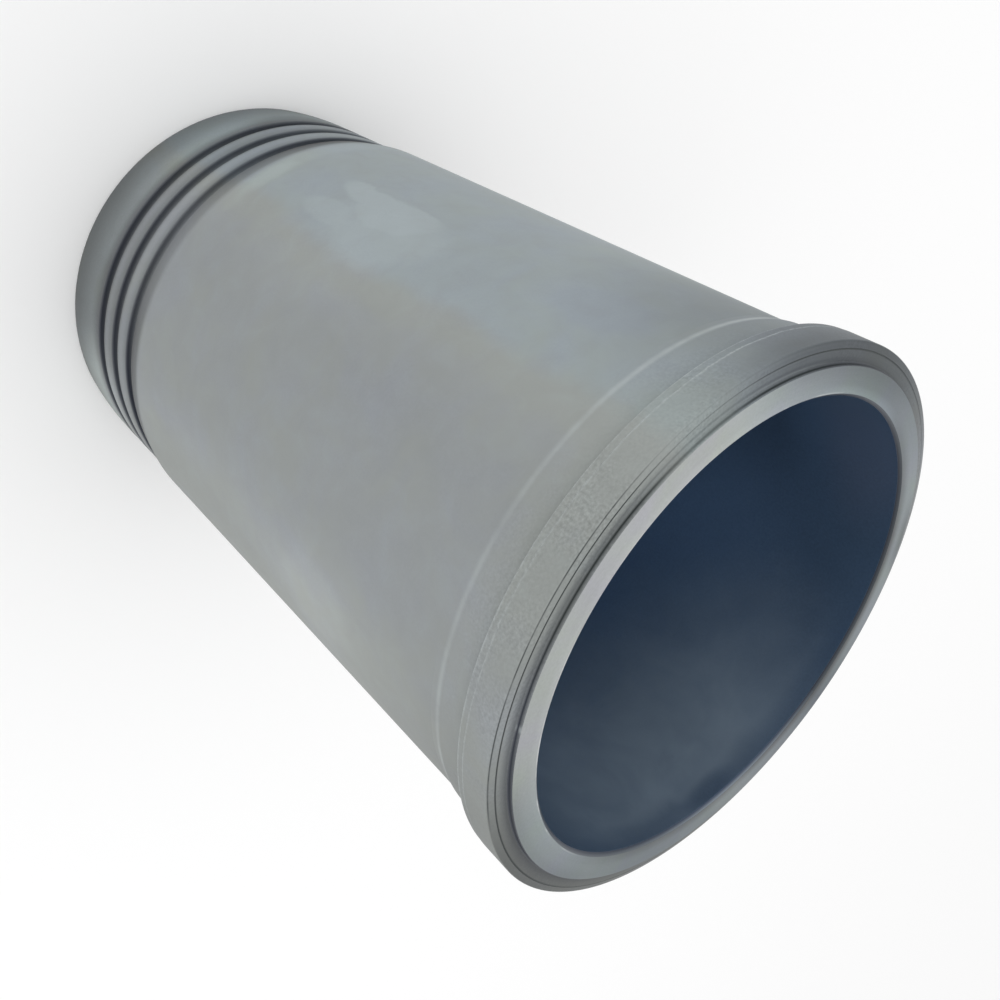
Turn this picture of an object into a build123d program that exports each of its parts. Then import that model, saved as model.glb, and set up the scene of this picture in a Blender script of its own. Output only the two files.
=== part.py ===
from build123d import *
import os

# Cylinder liner, standing on its lower end. Sizes are in millimetres.
# The bore runs along Z. Height zero is the lower end face.
total_length = 268.5
bore_radius = 69.85
wall_thickness = 10.0
mouth_chamfer = 0.9
end_chamfer = 1.2

# Raised sealing ring around the mouth
ring_face_width = 8.35
ring_height = 1.5
ring_foot_radius = 0.6

# Flange
seat_width = 3.4
flange_thickness = 11.5
flange_edge_break = 0.2
strip_width = 1.8
strip_drop = 0.5
scribe_width = 0.3
scribe_depth = 0.12
relief_height = 2.25
relief_depth = 0.15
relief_slope = 0.15

# Upper land, which centres the liner under the flange
upper_land_step = 0.8
upper_land_length = 11.45
seat_corner_radius = 0.5
land_taper_length = 4.25

# Taper between the main wall and the lower lands
body_taper_length = 8.2

# Lower lands and the seal grooves between them
lower_land_step = 1.3
first_groove_height = 27.7
groove_pitch = 12.4
groove_width = 5.0
groove_depth = 3.0
groove_floor_radius = 1.2
groove_top_break = 0.35
groove_lower_round = 0.8
groove_count = 3

# Rounded lead-in at the lower end
lead_in_height = 20.0
lead_in_drop = 1.2
end_edge_radius = 0.8

# Radii that follow from the bore and the wall
ring_radius = bore_radius + ring_face_width
body_radius = bore_radius + wall_thickness
upper_land_radius = body_radius + upper_land_step
flange_radius = upper_land_radius + seat_width
lower_land_radius = body_radius - lower_land_step
strip_inner_radius = flange_radius - flange_edge_break - strip_width

# Heights that follow from the sizes above
flange_top = total_length - ring_height
flange_seat = flange_top - flange_thickness
upper_land_low = flange_seat - upper_land_length
body_top = upper_land_low - land_taper_length
top_groove_high = first_groove_height + (groove_count - 1) * groove_pitch + groove_width
body_low = top_groove_high + body_taper_length


def corner(section, radius, height):
    """The corner of the wall section that is nearest to a radius and a height."""
    return section.vertices().sort_by_distance((radius, height))[0]


def groove_edges():
    """The lower and the upper height of every seal groove."""
    lows = [first_groove_height + place * groove_pitch for place in range(groove_count)]
    return [(low, low + groove_width) for low in lows]


with BuildPart() as cylinder_liner:
    with BuildSketch(Plane.XZ) as wall_section:
        with BuildLine():
            inner_side = Polyline(
                (lower_land_radius - lead_in_drop, 0),
                (bore_radius + end_chamfer, 0),
                (bore_radius, end_chamfer),
                (bore_radius, total_length - mouth_chamfer),
                (bore_radius + mouth_chamfer, total_length),
                (ring_radius, total_length),
            )
            flange_side = Polyline(
                inner_side @ 1,
                (ring_radius, flange_top),
                (strip_inner_radius - scribe_width, flange_top),
                (strip_inner_radius - scribe_width / 2, flange_top - scribe_depth),
                (strip_inner_radius, flange_top),
                (flange_radius - flange_edge_break, flange_top - strip_drop),
                (flange_radius, flange_top - strip_drop - flange_edge_break),
                (flange_radius, flange_seat + relief_height),
                (flange_radius - relief_depth, flange_seat + relief_height - relief_slope),
                (flange_radius - relief_depth, flange_seat),
            )
            outer_side = Polyline(
                flange_side @ 1,
                (upper_land_radius, flange_seat),
                (upper_land_radius, upper_land_low),
                (body_radius, body_top),
                (body_radius, body_low),
                (lower_land_radius, top_groove_high),
                (lower_land_radius, lead_in_height),
            )
            lead_in = TangentArc(outer_side @ 1, inner_side @ 0, tangent=(0, -1))
        make_face()
        for low, high in groove_edges():
            with Locations((lower_land_radius, low)):
                Rectangle(
                    2 * groove_depth,
                    groove_width,
                    align=(Align.CENTER, Align.MIN),
                    mode=Mode.SUBTRACT,
                )
        for low, high in groove_edges():
            floor_radius = lower_land_radius - groove_depth
            fillet(corner(wall_section, floor_radius, low), groove_floor_radius)
            fillet(corner(wall_section, floor_radius, high), groove_floor_radius)
            fillet(corner(wall_section, lower_land_radius, low), groove_lower_round)
            fillet(corner(wall_section, lower_land_radius, high), groove_top_break)
        fillet(corner(wall_section, ring_radius, flange_top), ring_foot_radius)
        fillet(corner(wall_section, upper_land_radius, flange_seat), seat_corner_radius)
        fillet(corner(wall_section, lower_land_radius - lead_in_drop, 0), end_edge_radius)
    revolve(axis=Axis.Z)

os.makedirs("parts", exist_ok=True)
cylinder_liner.part.label = "cylinder_liner"
export_step(cylinder_liner.part, "parts/cylinder_liner.step")
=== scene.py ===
import math
from types import SimpleNamespace

import bpy
import numpy as np
from bpy.props import FloatProperty, FloatVectorProperty, IntProperty, PointerProperty
from mathutils import Matrix, Vector


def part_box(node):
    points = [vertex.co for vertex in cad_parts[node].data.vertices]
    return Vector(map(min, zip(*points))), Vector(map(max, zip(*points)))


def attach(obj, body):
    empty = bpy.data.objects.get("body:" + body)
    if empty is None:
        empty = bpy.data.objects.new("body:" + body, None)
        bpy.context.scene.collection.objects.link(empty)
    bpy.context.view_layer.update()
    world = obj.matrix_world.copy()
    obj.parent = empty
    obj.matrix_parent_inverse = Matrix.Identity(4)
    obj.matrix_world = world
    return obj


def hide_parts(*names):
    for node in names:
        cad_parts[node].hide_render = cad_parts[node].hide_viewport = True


bl_info = {
    "name": "Cylinder liner",
    "version": (1, 0, 0),
    "blender": (4, 5, 0),
    "location": "3D View > Sidebar > Liner",
    "description": "Builds a flanged cylinder liner with its coating, ring face, bore finish and studio",
    "category": "Object",
}

NODE = "cylinder_liner"
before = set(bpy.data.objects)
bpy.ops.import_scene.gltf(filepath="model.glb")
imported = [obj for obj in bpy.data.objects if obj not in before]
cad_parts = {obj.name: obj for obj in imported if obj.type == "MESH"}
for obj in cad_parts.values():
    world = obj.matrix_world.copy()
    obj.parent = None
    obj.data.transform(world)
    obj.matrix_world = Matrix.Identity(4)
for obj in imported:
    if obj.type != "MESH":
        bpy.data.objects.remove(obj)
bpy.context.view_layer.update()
cad_low, cad_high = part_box(NODE)
cad_length = cad_high.z - cad_low.z
cad_flange_radius = (cad_high.x - cad_low.x) / 2
MM = 0.001

# Rounds on the edges of the wall section, from the finest to the soft ends of the tapers.
SCRIBE_FLOOR_ROUND = 0.03 * MM
SCRIBE_EDGE_ROUND = 0.04 * MM
MOUTH_ROUND = 0.1 * MM
FINE_ROUND = 0.12 * MM
FLANGE_ROUND = 0.2 * MM
SEAT_ROUND = 0.25 * MM
RING_ROUND = 0.3 * MM
LAND_ROUND = 0.6 * MM
TAPER_ROUND = 3 * MM
LEAD_ROUND_SHARE = 0.9

# The camera that was fitted to the photograph: place, own axes in the world, and picture shift.
CAMERA_PLACE = (0.0, -0.26793, 0.38387)
CAMERA_RIGHT = (-0.583021, 0.528895, 0.616731)
CAMERA_UP = (-0.812223, -0.397644, -0.426817)
CAMERA_BACK = (0.019498, -0.749766, 0.661415)
CAMERA_SHIFT = (0.028, -0.0791)
SENSOR_WIDTH = 36.0
CLIP = (0.01, 100.0)

FLOOR_HALF = 8.0
LIGHT_PLACE = (0.9, -1.1, 1.3)
LIGHT_TARGET = (0.0, 0.0, 0.15)
LIGHT_SIZE = 1.2
WHITE = (1.0, 1.0, 1.0)


def length(name, description, default):
    """A size in metres that the sidebar shows with the scene's units."""
    return FloatProperty(
        name=name, description=description, default=default, min=0.0,
        subtype="DISTANCE", unit="LENGTH", precision=5,
    )


def share(name, description, default, high=1.0):
    """A plain number from zero to a limit."""
    return FloatProperty(name=name, description=description, default=default, min=0.0, max=high)


def colour(name, description, default):
    """A linear colour without alpha."""
    return FloatVectorProperty(
        name=name, description=description, default=default, size=3,
        min=0.0, max=1.0, subtype="COLOR",
    )


class LinerShape(bpy.types.PropertyGroup):
    """Sizes of the liner's wall section."""

    total_length: length("Total length", "From the lower end to the ring face", cad_length)
    flange_radius: length("Flange radius", "Outside of the flange", cad_flange_radius)
    bore_radius: length("Bore radius", "Inside of the wall", 69.85 * MM)
    mouth_chamfer: length("Mouth chamfer", "Chamfer where the piston enters", 0.9 * MM)
    end_chamfer: length("End chamfer", "Chamfer inside the lower end", 1.2 * MM)
    ring_radius: length("Ring radius", "Outside of the raised sealing ring", 78.2 * MM)
    ring_height: length("Ring height", "How far the ring stands above the flange", 1.5 * MM)
    ring_foot: length("Ring foot", "Fillet at the foot of the ring", 0.6 * MM)
    flange_thickness: length("Flange thickness", "Flange top to flange seat", 11.5 * MM)
    edge_break: length("Edge break", "Small chamfer on the flange's outer edge", 0.2 * MM)
    strip_width: length("Strip width", "Sloped strip at the flange's outer edge", 1.8 * MM)
    strip_drop: length("Strip drop", "How far the strip falls outwards", 0.5 * MM)
    scribe_width: length("Scribe width", "Fine turned line inside the strip", 0.3 * MM)
    scribe_depth: length("Scribe depth", "Depth of the fine turned line", 0.12 * MM)
    relief_height: length("Relief height", "Slightly smaller band above the seat", 2.25 * MM)
    relief_depth: length("Relief depth", "How much smaller that band is", 0.15 * MM)
    upper_land_radius: length("Upper land radius", "Land under the flange", 80.65 * MM)
    upper_land_length: length("Upper land length", "Height of that land", 11.45 * MM)
    seat_corner: length("Seat corner", "Fillet between land and seat", 0.5 * MM)
    land_taper: length("Land taper", "Height of the taper below the upper land", 4.25 * MM)
    body_radius: length("Body radius", "Outside of the main wall", 79.85 * MM)
    body_taper: length("Body taper", "Height of the taper above the grooves", 8.2 * MM)
    lower_land_radius: length("Lower land radius", "Lands between the grooves", 78.55 * MM)
    first_groove: length("First groove", "Height of the lowest groove", 27.7 * MM)
    groove_pitch: length("Groove pitch", "From groove to groove", 12.4 * MM)
    groove_width: length("Groove width", "Width of a seal groove", 5.0 * MM)
    groove_depth: length("Groove depth", "Depth of a seal groove", 3.0 * MM)
    groove_floor: length("Groove floor round", "Fillets at the groove floor", 1.2 * MM)
    groove_upper: length("Groove upper round", "Round on the upper edge", 0.35 * MM)
    groove_lower: length("Groove lower round", "Round on the lower edge", 0.8 * MM)
    lead_in_height: length("Lead-in height", "Where the rounded lead-in starts", 20.0 * MM)
    lead_in_drop: length("Lead-in drop", "How much smaller the end is", 1.2 * MM)
    end_round: length("End round", "Round on the lower outer edge", 0.8 * MM)
    groove_count: IntProperty(name="Grooves", description="Number of seal grooves", default=3, min=1, max=6)
    around: IntProperty(name="Steps around", description="Faces around the bore", default=360, min=48, max=480)
    arc_steps: IntProperty(name="Steps per edge", description="Points on each rounded edge", default=6, min=3, max=12)


class LinerFinish(bpy.types.PropertyGroup):
    """Colours and strengths of the three finishes."""

    coat: colour("Coating", "Matt phosphate coating on the outside", (0.270, 0.290, 0.292))
    coat_blue: colour("Bluish coating", "The same coating where it is a little bluer", (0.269, 0.308, 0.320))
    # Painted shade: this darker blue-grey darkens the grooves, the ring's wall and foot and the flange face near the
    # ring; it also colours the fine turned rows on the flange.
    coat_shade: colour("Coating shade", "Darker blue-grey in sheltered places", (0.030, 0.035, 0.050))
    # Painted shade at the ring's foot; the same dark grey also draws the line in the scribed groove and the broken line
    # at the flange's rim.
    line_shade: colour("Line shade", "Dark neutral grey in the turned lines", (0.022, 0.028, 0.028))
    # Partly wear, partly painted highlight: this paler grey shows thin coating on the edges, also paints highlights on
    # them and on the fillet at the ring's foot, and draws a nick in the ring wall.
    coat_wear_and_highlight: colour("Coating wear", "Thin coating on turned edges", (0.420, 0.460, 0.470))
    # Painted sheen: the ring face is mixed between these two ring colours by the angle around.
    ring: colour("Ring face", "Turned iron of the sealing ring where it shines", (0.360, 0.375, 0.372))
    ring_dim: colour("Dim ring face", "The same iron where it mirrors less light", (0.036, 0.054, 0.062))
    bore: colour("Bore", "Honed bore", (0.060, 0.104, 0.174))
    bore_pale: colour("Pale bore", "Where the bore mirrors more of the room", (0.410, 0.510, 0.600))
    lip_dark: colour("Mouth chamfer", "Inner edge of the mouth chamfer", (0.016, 0.025, 0.046))
    lip_pale: colour("Mouth chamfer edge", "Outer edge of the mouth chamfer", (0.100, 0.115, 0.132))


class LinerStudio(bpy.types.PropertyGroup):
    """Floor, lights and camera."""

    floor: colour("Floor", "Plain pale floor", (0.95, 0.95, 0.95))
    sky: share("Sky", "Strength of the even light", 1.0, 10.0)
    key: share("Key light", "Power of the large side light in watts", 5.0, 1000.0)
    lens: FloatProperty(name="Lens", description="Focal length in millimetres", default=37.634, min=1.0)


def unit(v):
    """Every row divided by its own length."""
    return v / np.linalg.norm(v, axis=-1, keepdims=True)


def rounded_outline(corners, rounds, steps):
    """Closed outline with an arc in place of every corner.

    With u and w the directions from a corner to its neighbours and h half the angle
    between them, the arc's centre lies on the bisector at round / sin(h), it touches
    both sides at round / tan(h) from the corner, and its angle runs evenly from one
    touching point to the other. Returns the points and their outward normals.
    """
    u = unit(np.roll(corners, 1, 0) - corners)
    w = unit(np.roll(corners, -1, 0) - corners)
    half = np.arccos(np.clip((u * w).sum(1), -1, 1)) / 2
    centre = corners + unit(u + w) * (rounds / np.sin(half))[:, None]
    start = corners + u * (rounds / np.tan(half))[:, None] - centre
    stop = corners + w * (rounds / np.tan(half))[:, None] - centre
    turn = np.arctan2(start[:, 0] * stop[:, 1] - start[:, 1] * stop[:, 0], (start * stop).sum(1))
    angle = np.arctan2(start[:, 1], start[:, 0])[:, None] + turn[:, None] * np.linspace(0, 1, steps)
    ray = np.stack([np.cos(angle), np.sin(angle)], -1)
    points = centre[:, None] + rounds[:, None, None] * ray
    normals = ray * np.sign(turn)[:, None, None]
    return points.reshape(-1, 2), normals.reshape(-1, 2)


def levels(s):
    """Heights of the flange top, the flange seat, the upper land's foot and the top groove's upper edge."""
    flange_top = s.total_length - s.ring_height
    seat = flange_top - s.flange_thickness
    land_low = seat - s.upper_land_length
    ledge = s.first_groove + (s.groove_count - 1) * s.groove_pitch + s.groove_width
    return flange_top, seat, land_low, ledge


def strip_radius(s):
    """Radius where the sloped strip of the flange begins."""
    return s.flange_radius - s.edge_break - s.strip_width


def wall_section(s):
    """Corners of the wall section as radius, height and round, counter-clockwise.

    It starts at the inside of the lower end, runs out along the end face, up the
    outside past the grooves to the ring, and back down the bore.
    """
    top = s.total_length
    flange_top, seat, land_low, ledge = levels(s)
    strip_inner = strip_radius(s)
    low = s.first_groove + s.groove_pitch * np.arange(s.groove_count)
    high = low + s.groove_width
    land = s.lower_land_radius
    floor = land - s.groove_depth
    ones = np.ones(s.groove_count)
    grooves = np.stack([
        np.stack([land * ones, low, s.groove_lower * ones], -1),
        np.stack([floor * ones, low, s.groove_floor * ones], -1),
        np.stack([floor * ones, high, s.groove_floor * ones], -1),
        np.stack([land * ones, high, s.groove_upper * ones], -1),
    ], 1).reshape(-1, 3)
    lead_round = (s.lead_in_height ** 2 + s.lead_in_drop ** 2) / (2 * s.lead_in_drop)
    lead_turn = 2 * math.atan2(s.lead_in_drop, s.lead_in_height)
    lead_corner = s.lead_in_drop / math.tan(lead_turn)
    lower = np.array([
        [s.bore_radius + s.end_chamfer, 0, FINE_ROUND],
        [land - s.lead_in_drop, 0, s.end_round],
        [land, lead_corner, LEAD_ROUND_SHARE * lead_round],
    ])
    relief_radius = s.flange_radius - s.relief_depth
    strip_low = flange_top - s.strip_drop
    upper = np.array([
        [s.body_radius, ledge + s.body_taper, TAPER_ROUND],
        [s.body_radius, land_low - s.land_taper, TAPER_ROUND],
        [s.upper_land_radius, land_low, LAND_ROUND],
        [s.upper_land_radius, seat, s.seat_corner],
        [relief_radius, seat, SEAT_ROUND],
        [relief_radius, seat + s.relief_height - s.relief_depth, FINE_ROUND],
        [s.flange_radius, seat + s.relief_height, FLANGE_ROUND],
        [s.flange_radius, strip_low - s.edge_break, FLANGE_ROUND],
        [s.flange_radius - s.edge_break, strip_low, FLANGE_ROUND],
        [strip_inner, flange_top, SCRIBE_EDGE_ROUND],
        [strip_inner - s.scribe_width / 2, flange_top - s.scribe_depth, SCRIBE_FLOOR_ROUND],
        [strip_inner - s.scribe_width, flange_top, SCRIBE_EDGE_ROUND],
        [s.ring_radius, flange_top, s.ring_foot],
        [s.ring_radius, top, RING_ROUND],
        [s.bore_radius + s.mouth_chamfer, top, MOUTH_ROUND],
        [s.bore_radius, top - s.mouth_chamfer, MOUTH_ROUND],
        [s.bore_radius, s.end_chamfer, MOUTH_ROUND],
    ])
    return np.concatenate([lower, grooves, upper])


def turned_mesh(name, outline, normals, around):
    """A closed solid of revolution about Z.

    Column k holds the outline turned by k / around of a full turn: x and y are the
    radius times the cosine and sine of that angle, z is the height.
    """
    count = len(outline)
    angle = np.linspace(0, 2 * math.pi, around, endpoint=False)
    ca, sa = np.cos(angle)[:, None], np.sin(angle)[:, None]
    flat = np.ones_like(ca)
    verts = np.stack([outline[:, 0] * ca, outline[:, 0] * sa, outline[:, 1] * flat], -1)
    shade = np.stack([normals[:, 0] * ca, normals[:, 0] * sa, normals[:, 1] * flat], -1)
    k, i = np.meshgrid(np.arange(around), np.arange(count), indexing="ij")
    k2, i2 = (k + 1) % around, (i + 1) % count
    faces = np.stack([k * count + i, k2 * count + i, k2 * count + i2, k * count + i2], -1).reshape(-1, 4)
    mesh = bpy.data.meshes.new(name)
    mesh.vertices.add(count * around)
    mesh.vertices.foreach_set("co", verts.reshape(-1).astype(np.float32))
    mesh.loops.add(faces.size)
    mesh.loops.foreach_set("vertex_index", faces.reshape(-1).astype(np.int32))
    mesh.polygons.add(len(faces))
    mesh.polygons.foreach_set("loop_start", (np.arange(len(faces)) * 4).astype(np.int32))
    mesh.update(calc_edges=True)
    mesh.validate()
    mesh.shade_smooth()
    mesh.normals_split_custom_set_from_vertices(shade.reshape(-1, 3).astype(np.float32))
    return mesh


class Nodes:
    """Short ways to add and join the nodes of one node tree."""

    def __init__(self, tree):
        self.tree = tree

    def add(self, kind, *inputs, **settings):
        """A node with its settings, and its sockets set or linked in order or by name."""
        node = self.tree.nodes.new(kind)
        named = settings.pop("named", {})
        for key, value in settings.items():
            setattr(node, key, value)
        for key, value in [*enumerate(inputs), *named.items()]:
            if value is None:
                continue
            if isinstance(value, bpy.types.NodeSocket):
                self.tree.links.new(value, node.inputs[key])
            else:
                node.inputs[key].default_value = value
        return node

    def math(self, operation, *inputs):
        """One Math node's result."""
        return self.add("ShaderNodeMath", *inputs, operation=operation).outputs[0]

    def times(self, value, *factors):
        """The product of all values."""
        for factor in factors:
            value = self.math("MULTIPLY", value, factor)
        return value

    def plus(self, base, value, share):
        """A base plus a share of a value."""
        return self.math("MULTIPLY_ADD", value, share, base)

    def rest(self, value):
        """One minus a value."""
        return self.math("SUBTRACT", 1.0, value)

    def ramp(self, value, low, high, to_low=0.0, to_high=1.0):
        """Smooth step of a value from one level to another."""
        return self.add(
            "ShaderNodeMapRange", value, low, high, to_low, to_high,
            interpolation_type="SMOOTHSTEP",
        ).outputs[0]

    def band(self, value, centre, width):
        """One at a centre, falling smoothly to zero at a width on both sides."""
        off = self.math("ABSOLUTE", self.math("SUBTRACT", value, centre))
        return self.ramp(off, 0.0, width, 1.0, 0.0)

    def mix(self, factor, a, b, blend="MIX"):
        """A colour mix."""
        node = self.tree.nodes.new("ShaderNodeMix")
        node.data_type = "RGBA"
        node.blend_type = blend
        for socket, value in zip((node.inputs[0], node.inputs[6], node.inputs[7]), (factor, a, b)):
            if isinstance(value, bpy.types.NodeSocket):
                self.tree.links.new(value, socket)
            elif socket == node.inputs[0]:
                socket.default_value = value
            else:
                socket.default_value = (*value, 1.0)
        return node.outputs[2]

    def hill(self, value, start, full, fade, stop):
        """Zero up to the start, one from full to fade, and zero again from the stop on."""
        return self.times(self.ramp(value, start, full), self.ramp(value, fade, stop, 1.0, 0.0))

    def span(self, value, low, high, soft):
        """One between two levels, with soft ends."""
        return self.hill(value, low - soft, low + soft, high - soft, high + soft)

    def weigh(self, tone, mask, change):
        """A tone times one plus a share of the mask."""
        return self.times(tone, self.plus(1.0, mask, change))

    def tinted(self, shade, tone):
        """A colour times a tone."""
        return self.add("ShaderNodeVectorMath", shade, named={"Scale": tone}, operation="SCALE").outputs[0]

    def filtered(self, base, tint):
        """A colour multiplied by a tint."""
        return self.mix(1.0, base, tint, "MULTIPLY")

    def noise(self, **named):
        """A noise texture's value."""
        inputs = {key.capitalize(): value for key, value in named.items()}
        return self.add("ShaderNodeTexNoise", named=inputs).outputs["Fac"]

    def stops(self, value, points):
        """A soft curve through tones at given angles in degrees."""
        node = self.add("ShaderNodeValToRGB", self.math("MULTIPLY_ADD", value, 1 / 360, 0.5))
        node.color_ramp.interpolation = "B_SPLINE"
        marks = node.color_ramp.elements
        for mark, (at, tone) in zip(marks, (points[0], points[-1])):
            mark.position, mark.color = at / 360 + 0.5, (tone, tone, tone, 1.0)
        for at, tone in points[1:-1]:
            marks.new(at / 360 + 0.5).color = (tone, tone, tone, 1.0)
        return node.outputs[0]

    def place(self):
        """Position, height, radius and degrees around, from object coordinates.

        The degrees are zero on the -Y side and grow towards -X.
        """
        where = self.add("ShaderNodeTexCoord").outputs["Object"]
        x, y, z = self.add("ShaderNodeSeparateXYZ", where).outputs
        flat = self.add("ShaderNodeCombineXYZ", x, y, 0.0).outputs[0]
        radius = self.add("ShaderNodeVectorMath", flat, operation="LENGTH").outputs["Value"]
        turn = self.math("ARCTAN2", self.times(x, -1.0), self.times(y, -1.0))
        return where, z, radius, self.times(turn, 180 / math.pi)


def new_group(name, inputs, outputs):
    """An empty shader node group with float sockets; returns its helper, input node and output node."""
    group = bpy.data.node_groups.new(name, "ShaderNodeTree")
    for label, default in inputs:
        socket = group.interface.new_socket(label, in_out="INPUT", socket_type="NodeSocketFloat")
        socket.default_value = default
    for label in outputs:
        group.interface.new_socket(label, in_out="OUTPUT", socket_type="NodeSocketFloat")
    n = Nodes(group)
    return n, n.add("NodeGroupInput"), n.add("NodeGroupOutput")


def turned_lines_group():
    """Fine lines around the axis: noise stretched around the part, read by radius and height."""
    n, given, out = new_group("turned_lines", [("Lines per metre", 4000.0)], ["Lines"])
    where, z, radius, _ = n.place()
    x, y, _ = n.add("ShaderNodeSeparateXYZ", where).outputs
    across = n.times(n.math("ADD", z, radius), given.outputs[0])
    around = 6.0
    spot = n.add("ShaderNodeCombineXYZ", n.times(x, around), n.times(y, around), across).outputs[0]
    n.tree.links.new(n.noise(vector=spot, scale=1.0, detail=2.0), out.inputs[0])
    return n.tree


def cloudy_group():
    """Soft cloud of a given size around zero, and a fine speckle around zero."""
    n, given, out = new_group("cloudy_patches", [("Per metre", 20.0)], ["Cloud", "Speckle"])
    where = n.add("ShaderNodeTexCoord").outputs["Object"]
    cloud = n.noise(vector=where, scale=given.outputs[0], detail=3.0, roughness=0.55, distortion=0.6)
    speckle = n.noise(vector=where, scale=1300.0, detail=2.0)
    for value, socket in zip((cloud, speckle), out.inputs):
        n.tree.links.new(n.math("SUBTRACT", value, 0.5), socket)
    return n.tree


def patch_group():
    """One soft-edged patch on the turned side: an oval in degrees and height with a ragged rim."""
    n, given, out = new_group(
        "tone_patch",
        [("Angle", 0.0), ("Height", 0.1), ("Reach around", 20.0), ("Reach along", 0.03), ("Rim", 0.4), ("Ragged", 0.5)],
        ["Amount"],
    )
    angle, height, around, along, rim, ragged = given.outputs[:6]
    where, z, _, degrees = n.place()
    noise = n.noise(vector=where, scale=40.0, detail=6.0, roughness=0.6)
    u = n.math("DIVIDE", n.math("WRAP", n.math("SUBTRACT", degrees, angle), 180.0, -180.0), around)
    v = n.math("DIVIDE", n.math("SUBTRACT", z, height), along)
    off = n.math("SQRT", n.math("ADD", n.times(u, u), n.times(v, v)))
    off = n.plus(off, n.math("SUBTRACT", noise, 0.5), ragged)
    amount = n.ramp(off, n.rest(rim), n.math("ADD", 1.0, rim), 1.0, 0.0)
    n.tree.links.new(amount, out.inputs[0])
    return n.tree


def hone_group():
    """Crossed honing marks: two families of helical lines, each an integer number of turns around."""
    n, given, out = new_group("honing_marks", [("Turns", 900.0), ("Slope", 2600.0)], ["Marks"])
    where, z, _, degrees = n.place()
    around = n.times(degrees, math.pi / 180, given.outputs[0])
    along = n.times(z, given.outputs[1])
    one = n.math("SINE", n.math("ADD", along, around))
    two = n.math("SINE", n.math("SUBTRACT", along, around))
    noise = n.noise(vector=where, scale=300.0, detail=2.0)
    n.tree.links.new(n.times(n.math("ADD", one, two), noise), out.inputs[0])
    return n.tree


def new_material(name):
    """A material with only a Principled shader and its output."""
    material = bpy.data.materials.new(name)
    material.use_nodes = True
    material.node_tree.nodes.clear()
    n = Nodes(material.node_tree)
    shader = n.add("ShaderNodeBsdfPrincipled")
    out = n.add("ShaderNodeOutputMaterial")
    n.tree.links.new(shader.outputs[0], out.inputs["Surface"])
    return material, n, shader


def place_group(n, tree, **values):
    """A node group in a material with its own values."""
    node = n.tree.nodes.new("ShaderNodeGroup")
    node.node_tree = tree
    for key, value in values.items():
        node.inputs[key.replace("_", " ").capitalize()].default_value = value
    return node


def cloudy(n, groups, per_metre):
    """The soft cloud and the fine speckle of a noise placed in a material."""
    return place_group(n, groups["cloudy"], Per_metre=per_metre).outputs[:2]


def tool_lines(n, groups, per_metre):
    """Fine turned lines placed in a material."""
    return place_group(n, groups["lines"], Lines_per_metre=per_metre).outputs[0]


def patch(n, groups, angle, height, around, along, rim, ragged):
    """A tone patch placed in a material; its height and its reach along the axis are in millimetres."""
    node = place_group(n, groups["patch"])
    values = (angle, height * MM, around, along * MM, rim, ragged)
    for socket, value in zip(node.inputs, values):
        socket.default_value = value
    return node.outputs[0]


def patches(n, groups, table):
    """Masks and changes of a table whose rows are a patch's six values and its change."""
    return [(patch(n, groups, *row[:-1]), row[-1]) for row in table]


def finish_shader(n, shader, base, metallic, rough, strength, distance, height):
    """Colour, metal share, roughness and bump of a material's shader."""
    n.tree.links.new(base, shader.inputs["Base Color"])
    shader.inputs["Metallic"].default_value = metallic
    n.tree.links.new(rough, shader.inputs["Roughness"])
    bump = n.add("ShaderNodeBump", named={"Strength": strength, "Distance": distance, "Height": height})
    n.tree.links.new(bump.outputs[0], shader.inputs["Normal"])


# Patches of the coating: degrees, height, reach in degrees, reach in height, rim, raggedness, change.
# The tone patches first, from the wall to the flange and the lower end: uneven tone of the coating mixed with painted
# highlights, such as the light line above the taper, and painted shade, such as the darker sides of the flange and of
# the lower lands.
TONE_LIGHT_AND_SHADE_PATCHES = (
    (-50.0, 184, 11.0, 19, 0.25, 1.2, 0.07),
    (-56.0, 197, 17.0, 34, 0.6, 0.4, 0.07),
    (-64.0, 98, 18.0, 66, 0.5, 0.4, -0.11),
    (36.0, 71, 24.0, 4, 0.6, 0.5, 0.08),
    (26.0, 72, 7.0, 4, 0.4, 0.8, 0.08),
    (60.0, 256, 26.0, 46, 0.7, 0.2, -0.32),
    (-68.0, 240, 26.0, 52, 0.7, 0.2, -0.20),
    (68.0, 266, 30.0, 13, 0.6, 0.2, -0.34),
    (-61.0, 20, 17.0, 21, 0.6, 0.2, 0.68),
    (12.0, 15, 26.0, 10, 0.6, 0.3, 0.10),
    (15.0, 22, 27.0, 6, 0.5, 0.3, 0.11),
    (54.0, 25, 15.0, 6, 0.5, 0.3, -0.32),
    (-28.0, 25, 14.0, 4, 0.5, 0.3, -0.12),
)
# The hue patches: below zero is warmer, above zero cooler.
HUE_PATCHES = (
    (-8.0, 262, 16.0, 15, 0.6, 0.6, -0.6),
    (16.0, 263, 13.0, 12, 0.6, 0.6, -0.7),
    (52.0, 263, 15.0, 10, 0.5, 0.3, 0.6),
    (36.0, 219, 6.0, 14, 0.5, 0.6, 0.7),
    (27.0, 72, 12.0, 5, 0.5, 0.5, -0.9),
    (-6.0, 13, 26.0, 8, 0.6, 0.3, 0.8),
)
COAT_WARM, COAT_COOL = (1.012, 1.006, 0.962), (0.985, 0.985, 1.045)
END_TINT = (0.985, 1.025, 0.985)

# Painted shade on the flange's top face, darker towards its sides: degrees and how much darker.
FLANGE_SHADE_STOPS = (
    (-180, 0.24), (-150, 0.34), (-120, 0.40), (-90, 0.42), (-70, 0.45), (-56, 0.26), (-44, 0.08), (-30, 0.0),
    (32, 0.0), (46, 0.08), (58, 0.26), (76, 0.36), (96, 0.31), (120, 0.20), (150, 0.20), (180, 0.24),
)


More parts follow.
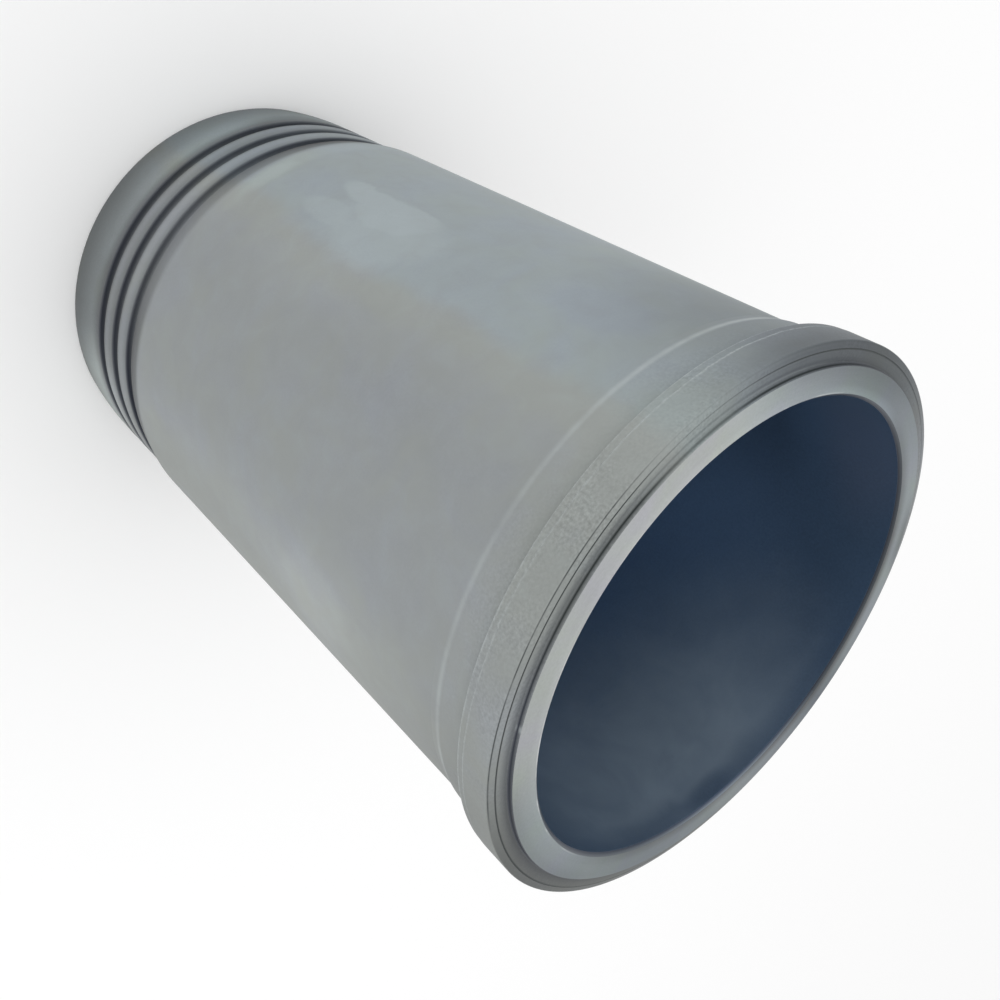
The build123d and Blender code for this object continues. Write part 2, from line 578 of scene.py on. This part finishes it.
def coating_places(n, s, groups):
    """What the steps of the coating share: places, heights and noises."""
    _, z, radius, degrees = n.place()
    cloud, speckle = cloudy(n, groups, 14.0)
    flange_top, seat, land_low, ledge = levels(s)
    return SimpleNamespace(
        z=z, radius=radius, degrees=degrees, wavy=n.plus(degrees, cloud, 14.0),
        cloud=cloud, speckle=speckle, mottle=cloudy(n, groups, 110.0)[0], hue=cloudy(n, groups, 45.0)[0],
        flange_top=flange_top, seat=seat, land_low=land_low, ledge=ledge, taper_top=ledge + s.body_taper,
        on_top=n.ramp(z, flange_top - s.strip_drop - 0.1 * MM, flange_top - s.strip_drop),
    )


def pale_cloudlet(n, groups):
    """The pale ragged patch on the right of the wall, with two tongues towards the grooves."""
    low_left = n.times(patch(n, groups, 26.5, 138, 10.0, 22, 0.25, 1.2), 0.6)
    high_right = patch(n, groups, 33.0, 134, 7.0, 17, 0.2, 1.1)
    long_tongue = patch(n, groups, 35.5, 117, 4.2, 15, 0.2, 0.8)
    short_tongue = n.times(patch(n, groups, 25.0, 113, 3.6, 14, 0.2, 0.8), 0.6)
    return n.math("MAXIMUM", n.math("MAXIMUM", low_left, high_right), n.math("MAXIMUM", long_tongue, short_tongue))


def coating_grain(n, at):
    """Strength of the speckle: strong and sandy on the flange, faint on the wall, a little at the lower end."""
    flange = n.ramp(at.z, at.land_low - 4 * MM, at.seat - 2 * MM)
    near = n.times(n.span(at.degrees, -6.0, 28.0, 8.0), n.ramp(at.z, at.seat - 2 * MM, at.seat))
    grain = n.weigh(n.plus(0.10, flange, 0.42), near, 0.3)
    sandy = n.times(n.ramp(at.hue, -0.10, 0.12, 0.35, 1.25), n.ramp(at.z, at.seat - 1 * MM, at.seat, 0.7, 1.0))
    return n.plus(n.times(grain, sandy), n.ramp(at.z, 30 * MM, 60 * MM, 1.0, 0.0), 0.16)


def wall_tone(n, groups, at, cloudlet):
    """Tone of the coating: noises, painted shade on the sides of the wall, the upper land and the flange, a painted
    darker reflection at the front, and the patches.
    """
    tone = n.plus(n.plus(1.0, at.cloud, 0.10), at.mottle, 0.13)
    tone = n.plus(tone, coating_grain(n, at), at.speckle)
    # Painted shade: a darker band at the front, standing in for a dark reflection, and darker sides of the wall, the
    # upper land and the flange.
    front = n.span(at.wavy, -38.0, 8.0, 12.0)
    sharp_side = n.ramp(n.plus(at.degrees, at.mottle, 5.0), 37.0, 38.5, 1.0, 0.0)
    left_wall = n.times(n.hill(at.degrees, -155.0, -95.0, -74.0, -50.0), n.ramp(at.z, 190 * MM, 235 * MM, 0.4, 1.0))
    left_land = n.times(n.ramp(at.z, at.land_low - 14 * MM, at.seat), n.hill(at.degrees, -155.0, -100.0, -66.0, -30.0))
    right_flange = n.times(n.ramp(at.z, at.flange_top - 8 * MM, at.flange_top - 2 * MM),
                           n.hill(at.degrees, 25.0, 48.0, 80.0, 130.0))
    land = n.span(at.z, at.land_low + 1 * MM, at.seat - 0.5 * MM, 1 * MM)
    for mask, change in (
        (front, -0.12), (n.times(cloudlet, sharp_side), 0.15), (left_wall, -0.18),
        (left_land, -0.19), (right_flange, -0.17), (land, 0.03), *patches(n, groups, TONE_LIGHT_AND_SHADE_PATCHES),
    ):
        tone = n.weigh(tone, mask, change)
    return tone


def lower_tone(n, s, at):
    """Shade of the taper above the grooves, and below it of the lands and the lead-in."""
    z, degrees = at.z, at.degrees
    middle = n.span(degrees, -18.0, 18.0, 14.0)
    taper = n.times(n.ramp(z, at.taper_top - 3 * MM, at.taper_top + 1.8 * MM, 0.45, 1.0),
                    n.ramp(z, at.ledge - 1 * MM, at.taper_top - 2.5 * MM, 0.52, 1.0))
    strength = n.plus(n.plus(1.0, n.hill(degrees, 28.0, 48.0, 70.0, 120.0), 0.3), middle, -0.43)
    taper = n.rest(n.times(n.rest(taper), strength))
    lands = n.math("ADD", n.ramp(z, 3 * MM, s.lead_in_height + 5 * MM, 0.41, 0.69),
                   n.ramp(z, 28 * MM, 46 * MM, 0.0, 0.165))
    right = n.hill(degrees, 14.0, 46.0, 70.0, 120.0)
    lands = n.weigh(lands, n.times(middle, n.ramp(z, 26 * MM, 40 * MM)), 0.16)
    lands = n.weigh(lands, n.times(right, n.ramp(z, 18 * MM, 30 * MM)), -0.07)
    for k in range(s.groove_count):
        low = s.first_groove + k * s.groove_pitch
        high = low + s.groove_width
        fade = (6.0 - k) * MM
        under = n.ramp(z, low - fade, low, 0.0, n.ramp(z, low, low + 1 * MM, 1.0, 0.0))
        over = n.ramp(z, high, high + 2 * MM, n.ramp(z, high - 1 * MM, high, 0.0, 1.0), 0.0)
        lands = n.weigh(lands, under, -0.40 + 0.06 * k)
        lands = n.weigh(lands, over, -0.35)
    below = n.ramp(z, at.ledge - 0.6 * MM, at.ledge - 0.2 * MM, 1.0, 0.0)
    return n.math("ADD", n.times(lands, below), n.times(taper, n.rest(below)))


def coating_colour(n, s, f, groups, at, tone, cloudlet):
    """The coating's grey: bluish on the right, with warmer and cooler places, and a greener lower end."""
    blue = n.plus(n.hill(at.wavy, 15.5, 22.0, 80.0, 110.0), at.mottle, 0.9)
    base = n.tinted(n.mix(blue, tuple(f.coat), tuple(f.coat_blue)), tone)
    shift = n.times(at.hue, n.plus(2.0, cloudlet, -2.0))
    shift = n.math("ADD", shift, n.ramp(at.z, at.ledge, at.taper_top, 0.85, 0.5))
    warm_streak = n.span(at.wavy, 11.0, 18.0, 3.0)
    left = n.hill(at.wavy, -150.0, -100.0, -60.0, -35.0)
    for mask, change in ((warm_streak, -0.5), (left, -0.45), *patches(n, groups, HUE_PATCHES)):
        shift = n.plus(shift, mask, change)
    base = n.filtered(base, n.mix(shift, COAT_WARM, COAT_COOL))
    lower_end = n.ramp(at.z, s.first_groove - 4 * MM, s.first_groove - 1 * MM, 1.0, 0.0)
    return n.mix(lower_end, base, n.filtered(base, END_TINT))


def edge_wear_and_highlight(n, s, f, at, base):
    """Lighter edges of the seat, the relief and the upper land: thin coating together with a painted highlight,
    strongest on the lit side and weaker at the front.
    """
    # Painted highlight: on the lit side the edges grow wider and paler.
    lit = n.hill(at.degrees, -22.0, 22.0, 90.0, 140.0)
    seat_edge = n.times(n.band(at.z, at.seat - 0.1 * MM, n.plus(0.95 * MM, lit, -0.30 * MM)), n.plus(1.5, lit, -0.5))
    relief_edge = n.times(n.band(n.plus(at.z, at.mottle, 1.2 * MM), at.seat + s.relief_height, 0.55 * MM), 0.8)
    land_edge = n.times(n.band(at.z, at.land_low - 0.8 * MM, 1.6 * MM), 0.62)
    edge = n.times(n.math("MAXIMUM", seat_edge, relief_edge), n.ramp(at.speckle, -0.20, 0.16, 0.35, 0.95))
    edge = n.weigh(n.math("MAXIMUM", edge, land_edge), n.span(at.degrees, -14.0, 18.0, 9.0), -0.42)
    outside = n.ramp(at.radius, s.body_radius - 0.3 * MM, s.body_radius - 0.1 * MM)
    wear_and_light = n.weigh(n.times(outside, n.plus(0.40, lit, 0.38)), at.mottle, 1.8)
    return n.mix(n.times(edge, wear_and_light), base, tuple(f.coat_wear_and_highlight))


def dark_grooves(n, s, f, at, base):
    """Shade in the seal grooves, darkest near their outer edge; the top groove varies more around."""
    land = s.lower_land_radius
    degrees = at.degrees
    top_groove = n.ramp(at.z, at.ledge - 6 * MM, at.ledge - 5 * MM)
    deep = n.plus(0.36, n.band(at.radius, land - 0.95 * MM, 1.7 * MM), 0.50)
    for mask, change in (
        (n.hill(degrees, 12.0, 30.0, 70.0, 120.0), -0.12),
        (n.span(degrees, -4.0, 28.0, 10.0), n.plus(-0.19, top_groove, -0.14)),
        (n.span(degrees, -26.0, 14.0, 12.0), n.times(top_groove, -0.24)),
        (n.hill(degrees, -120.0, -70.0, -44.0, -26.0), n.times(top_groove, 0.16)),
        (n.hill(degrees, 34.0, 48.0, 70.0, 120.0), n.plus(-0.30, top_groove, 0.36)),
    ):
        deep = n.weigh(deep, mask, change)
    inside = n.times(n.span(at.z, s.first_groove - 1 * MM, at.ledge + 0.3 * MM, 0.3 * MM),
                     n.ramp(at.radius, land - 0.35 * MM, land, 1.0, 0.0))
    return n.mix(n.times(deep, inside), base, tuple(f.coat_shade))


def flange_face(n, s, f, groups, at, base):
    """The flange's top face: painted shade at its sides, near the ring and on the ring wall, a painted highlight on the
    fillet with a darker band beyond it, the turned rows, and a nick in the ring wall.
    """
    degrees, radius, ring = at.degrees, at.radius, s.ring_radius
    shade, light = tuple(f.coat_shade), tuple(f.coat_wear_and_highlight)
    base = n.tinted(base, n.rest(n.times(at.on_top, n.stops(degrees, FLANGE_SHADE_STOPS))))
    right = n.span(degrees, 12.0, 120.0, 8.0)
    near_ring = n.ramp(radius, ring + 0.5 * MM, s.flange_radius - 2.4 * MM, n.plus(0.42, right, -0.34), 0.03)
    base = n.mix(n.times(at.on_top, near_ring), base, shade)
    # Painted highlight: a pale line on the fillet at the ring's foot, on the right.
    fillet = n.times(n.band(radius, ring + 0.6 * MM, 0.45 * MM), n.span(degrees, 8.0, 52.0, 8.0))
    base = n.mix(n.times(fillet, at.on_top, 0.26), base, light)
    second = n.times(n.band(radius, ring + 1.3 * MM, 0.5 * MM), n.span(degrees, 0.0, 70.0, 8.0), 0.20)
    rows = n.ramp(tool_lines(n, groups, 1500.0), 0.45, 0.60)
    rows = n.times(rows, n.ramp(degrees, 26.0, 46.0, 0.02, 0.13), right)
    base = n.mix(n.times(n.math("MAXIMUM", second, rows), at.on_top), base, shade)
    # Painted shade on the ring wall, deeper towards both sides.
    ring_wall = n.times(n.ramp(radius, ring + 0.1 * MM, ring + 0.5 * MM, 1.0, 0.0), at.on_top)
    sheltered = n.plus(n.times(n.hill(degrees, 44.0, 60.0, 110.0, 150.0), 0.45),
                       n.hill(degrees, -150.0, -110.0, -46.0, -26.0), 0.62)
    base = n.mix(n.times(ring_wall, sheltered), base, shade)
    nick = n.times(ring_wall, n.band(degrees, -34.5, 1.1), 0.45)
    return n.mix(nick, base, light)


def dark_lines(n, s, f, at, base):
    """Dark lines on the flange: painted shade in the corner at the ring's foot, a dark line in the scribed groove and,
    broken, at the rim.
    """
    degrees, radius = at.degrees, at.radius
    line = tuple(f.line_shade)
    # Painted shade: the corner at the ring's foot is darkened, less between 12 and 34 degrees.
    above_face = n.math("SUBTRACT", at.z, n.ramp(degrees, 0.0, 24.0, 0.52 * MM, 0.8 * MM))
    foot = n.times(
        n.band(above_face, at.flange_top, 0.55 * MM),
        n.ramp(radius, s.ring_radius + 0.25 * MM, s.ring_radius + 0.6 * MM, 1.0, 0.0),
        n.plus(1.0, n.span(degrees, 12.0, 34.0, 6.0), -0.6),
        n.span(degrees, -69.0, 66.0, 7.0),
    )
    base = n.mix(foot, base, n.mix(n.ramp(degrees, -36.0, -12.0), tuple(f.coat_shade), line))
    fainter = n.plus(n.times(n.hill(degrees, 6.0, 18.0, 80.0, 100.0), 0.25), n.span(degrees, 12.0, 38.0, 8.0), 0.50)
    scribe = n.times(
        n.band(radius, strip_radius(s) - s.scribe_width / 2 - 0.1 * MM, 0.40 * MM),
        n.rest(fainter),
        n.span(degrees, -90.0, 95.0, 18.0),
    )
    rim = n.times(
        n.band(radius, s.flange_radius - 0.38 * MM, 0.30 * MM),
        n.ramp(at.mottle, -0.16, 0.06, 0.60, 1.0),
        n.ramp(degrees, 4.0, 16.0, 1.0, 0.16),
        n.span(degrees, -54.0, 74.0, 6.0),
    )
    return n.mix(n.times(n.math("MAXIMUM", scribe, rim), at.on_top), base, line)


def coating_material(s, f, groups):
    """Matt phosphate coating: soft blotches, grain, lighter edges that are partly thin coating and partly painted
    highlight, and painted shade on the sides, at the lower end and in the grooves.
    """
    material, n, shader = new_material("phosphate_coating")
    at = coating_places(n, s, groups)
    cloudlet = pale_cloudlet(n, groups)
    tone = n.times(wall_tone(n, groups, at, cloudlet), lower_tone(n, s, at))
    base = coating_colour(n, s, f, groups, at, tone, cloudlet)
    base = edge_wear_and_highlight(n, s, f, at, base)
    base = dark_grooves(n, s, f, at, base)
    base = flange_face(n, s, f, groups, at, base)
    base = dark_lines(n, s, f, at, base)
    shader.inputs["Specular IOR Level"].default_value = 0.35
    height = n.math("ADD", n.times(at.speckle, 0.5), n.times(tool_lines(n, groups, 3200.0), 0.4))
    finish_shader(n, shader, base, 0.0, n.plus(0.56, at.cloud, 0.15), 0.12, 0.2 * MM, height)
    return material


# Painted sheen of the ring face, in place of the lights' reflection on the turned iron: degrees and share of the
# shining colour.
RING_SHEEN = (
    (-180, 0.08), (-168, 0.30), (-150, 0.49), (-120, 0.16), (-90, 0.45), (-60, 0.58), (-45, 0.80), (-30, 0.92),
    (0, 0.98), (28, 1.13), (45, 0.70), (60, 0.41), (75, 0.22), (90, 0.36), (105, 0.48), (121, 0.62), (136, 0.46),
    (150, 0.53), (165, 0.42), (180, 0.08),
)
RING_COOL = (0.945, 1.0, 1.05)
RING_GREENISH, RING_VIOLET = (0.99, 1.03, 0.955), (1.0, 0.97, 1.06)
BURR = (0.60, 0.62, 0.61)


def ring_tone(n, s, radius, degrees, cloud, speckle, lines):
    """Tone of the ring face: mottling and tool lines, then painted sheen and shade on its inner and its outer part,
    each by the angle.
    """
    tone = n.plus(n.plus(1.0, cloud, 0.26), speckle, 0.22)
    tone = n.plus(tone, n.math("SUBTRACT", lines, 0.5), 0.10)
    inner = n.ramp(radius, s.bore_radius + 1 * MM, s.bore_radius + 4 * MM, 1.0, 0.0)
    lift = n.plus(n.times(n.span(degrees, -84.0, 92.0, 12.0), 0.11), n.span(degrees, 58.0, 90.0, 10.0), 0.38)
    tone = n.weigh(tone, n.times(inner, lift), 1.0)
    far = n.rest(n.span(degrees, -100.0, 100.0, 20.0))
    far_inner = n.ramp(radius, s.bore_radius + 0.6 * MM, s.bore_radius + 5 * MM,
                       n.plus(0.80, n.span(degrees, -160.0, -60.0, 14.0), -0.32), 0.0)
    far_inner = n.weigh(far_inner, n.span(degrees, 98.0, 127.0, 7.0), -0.36)
    tone = n.weigh(tone, n.times(far, far_inner), -1.0)
    sides = n.math("ADD", n.span(degrees, -95.0, -48.0, 8.0), n.span(degrees, 42.0, 90.0, 8.0))
    sides = n.plus(sides, n.span(degrees, 128.0, 143.0, 6.0), 1.9)
    sides = n.plus(sides, n.span(degrees, -166.0, -138.0, 6.0), 0.45)
    return n.weigh(tone, n.times(n.ramp(radius, s.ring_radius - 5 * MM, s.ring_radius), sides), -0.22)


def ring_material(s, f, groups):
    """Turned iron: light grey with concentric tool lines, a painted sheen that changes around the face, and mottling.
    """
    material, n, shader = new_material("turned_iron")
    _, _, radius, degrees = n.place()
    cloud, speckle = cloudy(n, groups, 70.0)
    lines = tool_lines(n, groups, 5200.0)
    tone = ring_tone(n, s, radius, degrees, cloud, speckle, lines)
    base = n.tinted(n.mix(n.stops(degrees, RING_SHEEN), tuple(f.ring_dim), tuple(f.ring)), tone)
    cool = n.rest(n.span(degrees, -54.0, 33.0, 12.0))
    base = n.mix(cool, base, n.filtered(base, RING_COOL))
    shift = n.plus(0.5, cloudy(n, groups, 55.0)[0], 2.6)
    base = n.filtered(base, n.mix(shift, RING_GREENISH, RING_VIOLET))
    mouth = s.bore_radius + s.mouth_chamfer
    burr = n.times(n.band(radius, mouth + 0.2 * MM, 0.3 * MM), n.ramp(cloud, -0.05, 0.08),
                   n.span(degrees, -80.0, 60.0, 10.0), 0.65)
    base = n.mix(burr, base, BURR)
    height = n.plus(lines, speckle, 0.4)
    finish_shader(n, shader, base, 0.35, n.plus(0.42, cloud, 0.3), 0.10, 0.2 * MM, height)
    return material


# Painted sheen of the mouth chamfer: degrees and share of the brightest tone.
LIP_SHEEN = (
    (-180, 0.28), (-168, 0.62), (-150, 0.90), (-135, 0.80), (-120, 0.54), (-104, 0.40), (-60, 0.42), (60, 0.40),
    (85, 0.30), (105, 0.24), (122, 0.20), (150, 0.21), (168, 0.25), (180, 0.28),
)
LIP_BRIGHTEST = 2.4
BORE_FLUSH = (0.55, 0.48, 0.60)


def bore_material(s, f, groups):
    """Honed bore: dark blue-grey metal with crossed fine marks, a painted reflection that makes it paler near the mouth
    on one side, and painted shade on the other side.
    """
    material, n, shader = new_material("honed_bore")
    _, z, radius, degrees = n.place()
    cloud, speckle = cloudy(n, groups, 18.0)
    smoke = cloudy(n, groups, 38.0)[0]
    hone = place_group(n, groups["hone"], Turns=760.0, Slope=9000.0).outputs[0]
    top = s.total_length
    top_mm = top / MM
    tone = n.plus(n.plus(1.0, cloud, 0.30), speckle, 0.34)
    tone = n.times(tone, n.ramp(z, top - 100 * MM, top - 10 * MM, 2.3, 1.0))
    # Painted shade on the sheltered side near the mouth.
    sheltered = n.times(n.span(degrees, 60.0, 132.0, 16.0), n.ramp(z, top - 46 * MM, top - 26 * MM, 1.0, 0.0))
    base = n.tinted(tuple(f.bore), n.weigh(tone, sheltered, -0.32))
    # Painted reflection: the bore is paler near the mouth on this side.
    pale = patch(n, groups, -137.0, top_mm - 22, 42.0, 44, 0.8, 0.45)
    uneven = n.plus(z, smoke, 16 * MM)
    pale = n.times(pale, n.ramp(uneven, top - 10 * MM, top - 1 * MM, 1.0, 0.42))
    pale = n.weigh(pale, patch(n, groups, -142.0, top_mm - 3.5, 7.0, 3.2, 0.6, 0.9), -0.55)
    pale = n.weigh(pale, smoke, 1.0)
    base = n.mix(n.times(pale, 0.58), base, tuple(f.bore_pale))
    flush = patch(n, groups, 106.0, top_mm - 11, 24.0, 13, 0.6, 0.3)
    base = n.mix(n.times(flush, 0.05), base, BORE_FLUSH)
    across_lip = n.ramp(radius, s.bore_radius, s.bore_radius + s.mouth_chamfer)
    lip = n.tinted(n.mix(across_lip, tuple(f.lip_dark), tuple(f.lip_pale)),
                   n.times(n.stops(degrees, LIP_SHEEN), LIP_BRIGHTEST))
    at_mouth = n.ramp(z, top - 1.1 * s.mouth_chamfer, top - 0.9 * s.mouth_chamfer)
    base = n.mix(at_mouth, base, lip)
    finish_shader(n, shader, base, 0.5, n.plus(0.38, cloud, 0.1), 0.06, 0.1 * MM, hone)
    return material


class LINER_OT_sleeve(bpy.types.Operator):
    """Build the liner's wall as one turned surface with its three finishes"""

    bl_idname = "liner.sleeve"
    bl_label = "Build the liner"

    def execute(self, context):
        s = context.scene.liner_shape
        f = context.scene.liner_finish
        corners = wall_section(s)
        outline, normals = rounded_outline(corners[:, :2], corners[:, 2], s.arc_steps)
        mesh = turned_mesh("liner_wall", outline, normals, s.around)
        piece = bpy.data.objects.new("liner_wall", mesh)
        context.scene.collection.objects.link(piece)
        groups = {
            "lines": turned_lines_group(), "cloudy": cloudy_group(), "hone": hone_group(), "patch": patch_group(),
        }
        mesh.materials.append(coating_material(s, f, groups))
        mesh.materials.append(ring_material(s, f, groups))
        mesh.materials.append(bore_material(s, f, groups))
        middle = (outline + np.roll(outline, -1, 0)) / 2
        on_ring = (middle[:, 1] > s.total_length - 0.1 * MM) & (middle[:, 0] < s.ring_radius - 0.2 * MM)
        chamfer = (middle[:, 0] < s.bore_radius + s.mouth_chamfer) & (middle[:, 1] > s.total_length / 2)
        in_bore = (middle[:, 0] < s.bore_radius + 0.05 * MM) | (chamfer & ~on_ring)
        kind = np.where(in_bore, 2, np.where(on_ring, 1, 0))
        mesh.polygons.foreach_set("material_index", np.tile(kind, s.around).astype(np.int32))
        mesh.update()
        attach(piece, "root")
        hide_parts(NODE)
        return {"FINISHED"}


def soft_light(scene, name, place, target, size, power, tint):
    """A square area light at a place, turned towards a target."""
    data = bpy.data.lights.new(name, "AREA")
    data.shape = "SQUARE"
    data.size = size
    data.energy = power
    data.color = tint
    light = bpy.data.objects.new(name, data)
    light.location = place
    light.rotation_mode = "QUATERNION"
    light.rotation_quaternion = (Vector(target) - Vector(place)).to_track_quat("-Z", "Y")
    scene.collection.objects.link(light)
    return light


class LINER_OT_studio(bpy.types.Operator):
    """Build the floor, the soft lights and the camera"""

    bl_idname = "liner.studio"
    bl_label = "Build the studio"

    def execute(self, context):
        scene = context.scene
        studio = scene.liner_studio
        mesh = bpy.data.meshes.new("floor")
        corners = [(x * FLOOR_HALF, y * FLOOR_HALF, 0) for x, y in ((-1, -1), (1, -1), (1, 1), (-1, 1))]
        mesh.from_pydata(corners, [], [(0, 1, 2, 3)])
        floor = bpy.data.objects.new("floor", mesh)
        scene.collection.objects.link(floor)
        material, _, shader = new_material("pale_floor")
        shader.inputs["Base Color"].default_value = (*studio.floor, 1.0)
        shader.inputs["Roughness"].default_value = 0.9
        shader.inputs["Specular IOR Level"].default_value = 0.1
        mesh.materials.append(material)

        world = bpy.data.worlds.new("studio")
        world.use_nodes = True
        background = world.node_tree.nodes["Background"]
        background.inputs["Color"].default_value = (*WHITE, 1.0)
        background.inputs["Strength"].default_value = studio.sky
        scene.world = world
        soft_light(scene, "key_light", LIGHT_PLACE, LIGHT_TARGET, LIGHT_SIZE, studio.key, WHITE)

        data = bpy.data.cameras.new("camera")
        data.lens = studio.lens
        data.sensor_fit = "AUTO"
        data.sensor_width = SENSOR_WIDTH
        data.shift_x, data.shift_y = CAMERA_SHIFT
        data.clip_start, data.clip_end = CLIP
        camera = bpy.data.objects.new("camera", data)
        turn = Matrix((CAMERA_RIGHT, CAMERA_UP, CAMERA_BACK)).transposed().to_4x4()
        camera.matrix_world = Matrix.Translation(CAMERA_PLACE) @ turn
        scene.collection.objects.link(camera)
        scene.camera = camera
        scene.view_settings.view_transform = "Standard"
        return {"FINISHED"}


class LINER_PT_panel(bpy.types.Panel):
    """The liner's sizes, finishes and studio in the sidebar"""

    bl_idname = "LINER_PT_panel"
    bl_label = "Cylinder liner"
    bl_space_type = "VIEW_3D"
    bl_region_type = "UI"
    bl_category = "Liner"

    def draw(self, context):
        layout = self.layout
        scene = context.scene
        for label, group, operator in (
            ("Shape", scene.liner_shape, "liner.sleeve"),
            ("Finish", scene.liner_finish, None),
            ("Studio", scene.liner_studio, "liner.studio"),
        ):
            box = layout.box()
            box.label(text=label)
            for name in group.__annotations__:
                box.prop(group, name)
            if operator:
                box.operator(operator)


classes = (LinerShape, LinerFinish, LinerStudio, LINER_OT_sleeve, LINER_OT_studio, LINER_PT_panel)


def register():
    for kind in classes:
        bpy.utils.register_class(kind)
    bpy.types.Scene.liner_shape = PointerProperty(type=LinerShape)
    bpy.types.Scene.liner_finish = PointerProperty(type=LinerFinish)
    bpy.types.Scene.liner_studio = PointerProperty(type=LinerStudio)


def unregister():
    del bpy.types.Scene.liner_studio
    del bpy.types.Scene.liner_finish
    del bpy.types.Scene.liner_shape
    for kind in reversed(classes):
        bpy.utils.unregister_class(kind)


def main():
    register()
    bpy.ops.liner.sleeve()
    bpy.ops.liner.studio()


if __name__ == "__main__":
    main()
